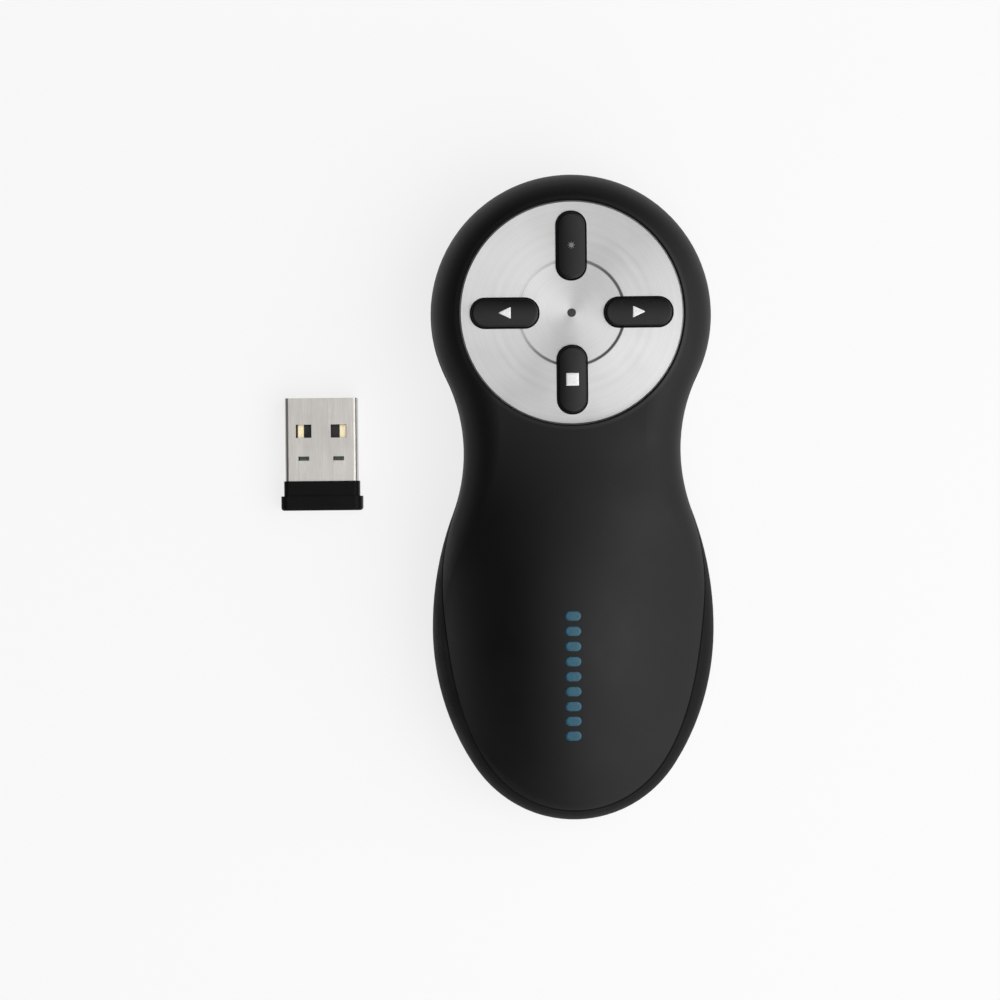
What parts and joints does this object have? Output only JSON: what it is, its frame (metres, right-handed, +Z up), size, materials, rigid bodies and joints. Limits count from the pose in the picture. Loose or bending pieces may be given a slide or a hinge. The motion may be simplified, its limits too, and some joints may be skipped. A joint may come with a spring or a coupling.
{
  "type": "wireless presentation clicker",
  "caption": "Palm-sized pebble-shaped remote with a round brushed faceplate, oblong buttons, a laser and a docking bay, with its USB receiver lying beside it.",
  "frame": {"origin": "on the flat belly that the clicker rests on, on its mid-plane, under the palm", "axes": "+Z up out of the buttons, +Y along the clicker towards the button head and the laser, +X to the right"},
  "size_m": [0.0715, 0.1057, 0.024],
  "materials": {
    "soft_touch": "soft-touch black paint over ABS",
    "case_plastic": "fine spark-eroded black ABS",
    "chassis_plastic": "as moulded",
    "brushed_face": "turned concentric brush, clear anodised",
    "tape": "die-cut foam adhesive",
    "clear_plastic": "polished clear acrylic",
    "led": "moulded chip LED",
    "circuit_board": "green solder mask over glass epoxy",
    "chip": "moulded epoxy",
    "tinned_can": "tinned",
    "chip_parts": "ceramic chip parts",
    "copper": "gold-plated copper trace",
    "brass": "turned",
    "lens_glass": "polished",
    "gold_can": "gold-plated header and can",
    "gloss_black": "polished black",
    "cell_wrap": "shrink wrap over a steel can",
    "spring_steel": "nickel-plated",
    "screw_steel": "black zinc",
    "switch_plastic": "as moulded",
    "switch_stem": "acetal",
    "plug_steel": "nickel-plated, rolled",
    "plug_tongue": "white PBT",
    "gold": "gold flash",
    "button_plastic": "smooth satin black"
  },
  "bodies": {
    "housing": {"top_shell": "soft_touch", "bottom_shell": "case_plastic", "inner_chassis": "chassis_plastic", "faceplate": "brushed_face", "faceplate_tape": "tape", "indicator_light_pipe": "clear_plastic", "indicator_led": "led", "main_pcb": "circuit_board", "radio_chip": "chip", "radio_crystal": "tinned_can", "board_capacitors": "chip_parts", "board_antenna": "copper", "laser_barrel": "brass", "laser_lens": "lens_glass", "laser_diode": "gold_can", "laser_leads": "tinned_can", "laser_bezel": "gloss_black", "laser_window": "lens_glass", "battery_cell_left": "cell_wrap", "battery_cell_right": "cell_wrap", "battery_terminal_negative": "spring_steel", "battery_terminal_positive": "spring_steel", "battery_bridge": "spring_steel", "battery_spring_tail": "spring_steel", "battery_spring_head": "spring_steel", "case_screws": "screw_steel", "chassis_screws": "screw_steel", "bay_switch_body": "switch_plastic", "laser_switch_base": "switch_plastic", "laser_switch_cover": "spring_steel", "laser_switch_dome": "spring_steel", "forward_switch_base": "switch_plastic", "forward_switch_cover": "spring_steel", "forward_switch_dome": "spring_steel", "back_switch_base": "switch_plastic", "back_switch_cover": "spring_steel", "back_switch_dome": "spring_steel", "stop_switch_base": "switch_plastic", "stop_switch_cover": "spring_steel", "stop_switch_dome": "spring_steel"},
    "laser_press": {"laser_button": "button_plastic", "laser_switch_stem": "switch_stem"},
    "forward_press": {"forward_button": "button_plastic", "forward_switch_stem": "switch_stem"},
    "back_press": {"back_button": "button_plastic", "back_switch_stem": "switch_stem"},
    "stop_press": {"stop_button": "button_plastic", "stop_switch_stem": "switch_stem"},
    "bay_plunger": {"bay_switch_plunger": "switch_stem"},
    "door": {"battery_door": "case_plastic"},
    "receiver": {"receiver_shield": "plug_steel", "receiver_insulator": "plug_tongue", "receiver_contacts": "gold", "receiver_board": "circuit_board", "receiver_chip": "chip", "receiver_cap": "case_plastic"}
  },
  "joints": [
    {"name": "laser_button_press", "type": "slide", "parent": "housing", "child": "laser_press", "axis": [0, 0, -1], "range_m": [0, 0.0004], "stiffness_N_per_m": 1200, "springref_m": -0.0002, "deforming": ["laser_switch_dome"]},
    {"name": "forward_button_press", "type": "slide", "parent": "housing", "child": "forward_press", "axis": [0, 0, -1], "range_m": [0, 0.0004], "stiffness_N_per_m": 1200, "springref_m": -0.0002, "deforming": ["forward_switch_dome"]},
    {"name": "back_button_press", "type": "slide", "parent": "housing", "child": "back_press", "axis": [0, 0, -1], "range_m": [0, 0.0004], "stiffness_N_per_m": 1200, "springref_m": -0.0002, "deforming": ["back_switch_dome"]},
    {"name": "stop_button_press", "type": "slide", "parent": "housing", "child": "stop_press", "axis": [0, 0, -1], "range_m": [0, 0.0004], "stiffness_N_per_m": 1200, "springref_m": -0.0002, "deforming": ["stop_switch_dome"]},
    {"name": "bay_plunger_press", "type": "slide", "parent": "housing", "child": "bay_plunger", "axis": [0, 0, 1], "range_m": [0, 0.0007], "stiffness_N_per_m": 200, "springref_m": -0.0005},
    {"name": "battery_door_slide", "type": "slide", "parent": "housing", "child": "door", "axis": [0, -1, 0], "range_m": [0, 0.08]},
    {"name": "receiver_lift", "type": "slide", "parent": "housing", "child": "receiver", "axis": [0, 0, 1], "range_m": [0, 0.06]}
  ]
}
